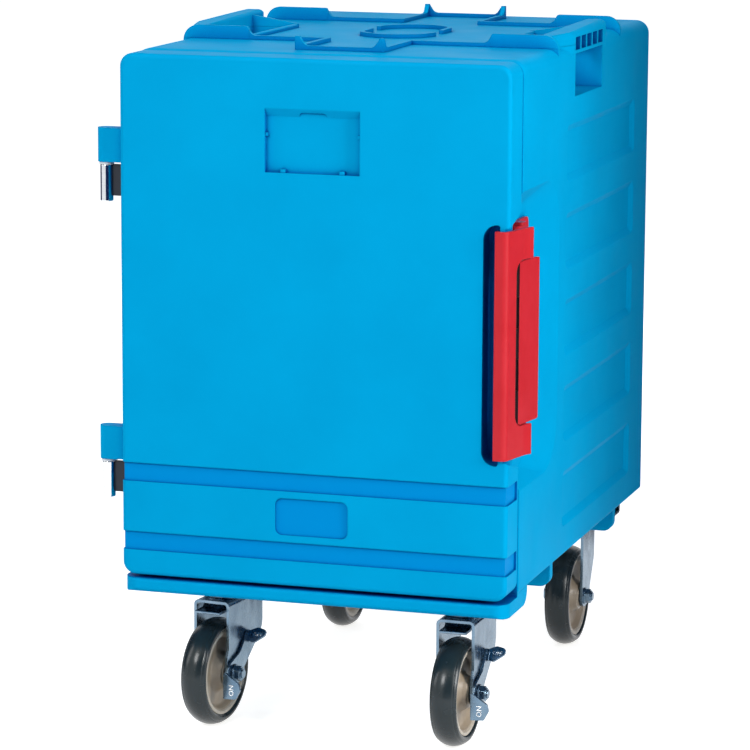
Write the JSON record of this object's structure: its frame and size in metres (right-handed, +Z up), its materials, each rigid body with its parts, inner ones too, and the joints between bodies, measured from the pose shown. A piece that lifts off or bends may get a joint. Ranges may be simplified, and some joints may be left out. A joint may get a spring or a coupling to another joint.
{
  "type": "insulated food-pan carrier on casters",
  "caption": "Front-loading insulated food-pan carrier in blue moulded plastic, with a hinged door, red draw latch, moulded hand holds and swivel and rigid casters.",
  "frame": {"origin": "centre of the overall box, on the floor under the wheels", "axes": "+Z up, +Y from the door towards the back, +X to the right of someone who faces the door"},
  "size_m": [0.5054, 0.6766, 0.8167],
  "materials": {
    "blue_polyethylene": "satin",
    "insulating_foam": "matte",
    "gasket_rubber": "matte",
    "tyre_rubber": "satin",
    "wheel_core_plastic": "satin",
    "red_nylon": "semi-gloss",
    "polished_steel": "polished",
    "dark_hinge_steel": "satin",
    "white_nylon": "satin",
    "zinc_plated_steel": "bright"
  },
  "bodies": {
    "carrier": {"base_screws": "zinc_plated_steel", "base_sheets": "zinc_plated_steel", "cabinet_foam": "insulating_foam", "cabinet_shell": "blue_polyethylene", "caster_bolts": "zinc_plated_steel", "caster_plate_front_left": "zinc_plated_steel", "caster_plate_front_right": "zinc_plated_steel", "channel_front": "zinc_plated_steel", "channel_rear": "zinc_plated_steel", "fork_rear_left": "zinc_plated_steel", "fork_rear_right": "zinc_plated_steel", "grip_left": "blue_polyethylene", "grip_right": "blue_polyethylene", "hinge_barrels": "polished_steel", "hinge_plate_lower": "dark_hinge_steel", "hinge_plate_upper": "dark_hinge_steel", "hinge_screws": "dark_hinge_steel", "kingpins": "zinc_plated_steel", "latch_base": "red_nylon", "latch_screws": "zinc_plated_steel", "lever_pin": "polished_steel", "rear_axle_bolts": "zinc_plated_steel", "rear_axle_nuts": "zinc_plated_steel", "rear_axle_sleeves": "zinc_plated_steel", "roof_ridges_front": "blue_polyethylene", "roof_ridges_rear": "blue_polyethylene", "roof_ring": "blue_polyethylene", "skids": "blue_polyethylene", "toe_lip": "blue_polyethylene"},
    "door": {"door_shell": "blue_polyethylene", "door_foam": "insulating_foam", "door_gasket": "gasket_rubber", "hinge_lugs": "blue_polyethylene", "hinge_pins": "polished_steel", "hinge_washers": "white_nylon"},
    "lever": {"latch_lever": "red_nylon", "hook_pin": "polished_steel"},
    "hook": {"latch_hook": "red_nylon"},
    "swivel_left": {"fork_front_left": "zinc_plated_steel", "swivel_race_front_left": "zinc_plated_steel", "axle_bolt_front_left": "zinc_plated_steel", "axle_nut_front_left": "zinc_plated_steel", "axle_sleeve_front_left": "zinc_plated_steel", "brake_shoe_front_left": "zinc_plated_steel"},
    "pedal_left": {"brake_pedal_front_left": "zinc_plated_steel"},
    "swivel_right": {"fork_front_right": "zinc_plated_steel", "swivel_race_front_right": "zinc_plated_steel", "axle_bolt_front_right": "zinc_plated_steel", "axle_nut_front_right": "zinc_plated_steel", "axle_sleeve_front_right": "zinc_plated_steel", "brake_shoe_front_right": "zinc_plated_steel"},
    "pedal_right": {"brake_pedal_front_right": "zinc_plated_steel"},
    "wheel_front_left": {"wheel_core_front_left": "wheel_core_plastic", "tyre_front_left": "tyre_rubber"},
    "wheel_front_right": {"wheel_core_front_right": "wheel_core_plastic", "tyre_front_right": "tyre_rubber"},
    "wheel_rear_left": {"wheel_core_rear_left": "wheel_core_plastic", "tyre_rear_left": "tyre_rubber"},
    "wheel_rear_right": {"wheel_core_rear_right": "wheel_core_plastic", "tyre_rear_right": "tyre_rubber"}
  },
  "joints": [
    {"name": "door_swing", "type": "hinge", "parent": "carrier", "child": "door", "pos_m": [-0.24295, -0.31175, 0.48], "axis": [0, 0, -1], "range_deg": [0, 250]},
    {"name": "latch_lever", "type": "hinge", "parent": "carrier", "child": "lever", "pos_m": [0.23705, -0.30675, 0.4864], "axis": [0, 0, -1], "range_deg": [0, 100]},
    {"name": "latch_hook", "type": "hinge", "parent": "lever", "child": "hook", "pos_m": [0.24005, -0.28875, 0.4864], "axis": [0, 0, 1], "range_deg": [0, 62]},
    {"name": "swivel_left", "type": "hinge", "parent": "carrier", "child": "swivel_left", "pos_m": [-0.13645, -0.20375, 0.15], "axis": [0, 0, 1], "continuous": true},
    {"name": "swivel_right", "type": "hinge", "parent": "carrier", "child": "swivel_right", "pos_m": [0.15655, -0.20375, 0.15], "axis": [0, 0, 1], "continuous": true},
    {"name": "brake_left", "type": "hinge", "parent": "swivel_left", "child": "pedal_left", "pos_m": [-0.14077, -0.23707, 0.0635], "axis": [0.9917, -0.1288, 0], "range_deg": [0, 18]},
    {"name": "spin_front_left", "type": "hinge", "parent": "swivel_left", "child": "wheel_front_left", "pos_m": [-0.14077, -0.23707, 0.0635], "axis": [0.9917, -0.1288, 0], "continuous": true},
    {"name": "brake_right", "type": "hinge", "parent": "swivel_right", "child": "pedal_right", "pos_m": [0.15597, -0.23735, 0.0635], "axis": [0.9998, -0.0175, 0], "range_deg": [0, 18]},
    {"name": "spin_front_right", "type": "hinge", "parent": "swivel_right", "child": "wheel_front_right", "pos_m": [0.15597, -0.23735, 0.0635], "axis": [0.9998, -0.0175, 0], "continuous": true},
    {"name": "spin_rear_left", "type": "hinge", "parent": "carrier", "child": "wheel_rear_left", "pos_m": [-0.13995, 0.26325, 0.0635], "axis": [1, 0, 0], "continuous": true},
    {"name": "spin_rear_right", "type": "hinge", "parent": "carrier", "child": "wheel_rear_right", "pos_m": [0.16005, 0.26325, 0.0635], "axis": [1, 0, 0], "continuous": true}
  ],
  "couplings": [
    {"joint": "latch_hook", "follows": "latch_lever", "ratio": 0.62}
  ]
}
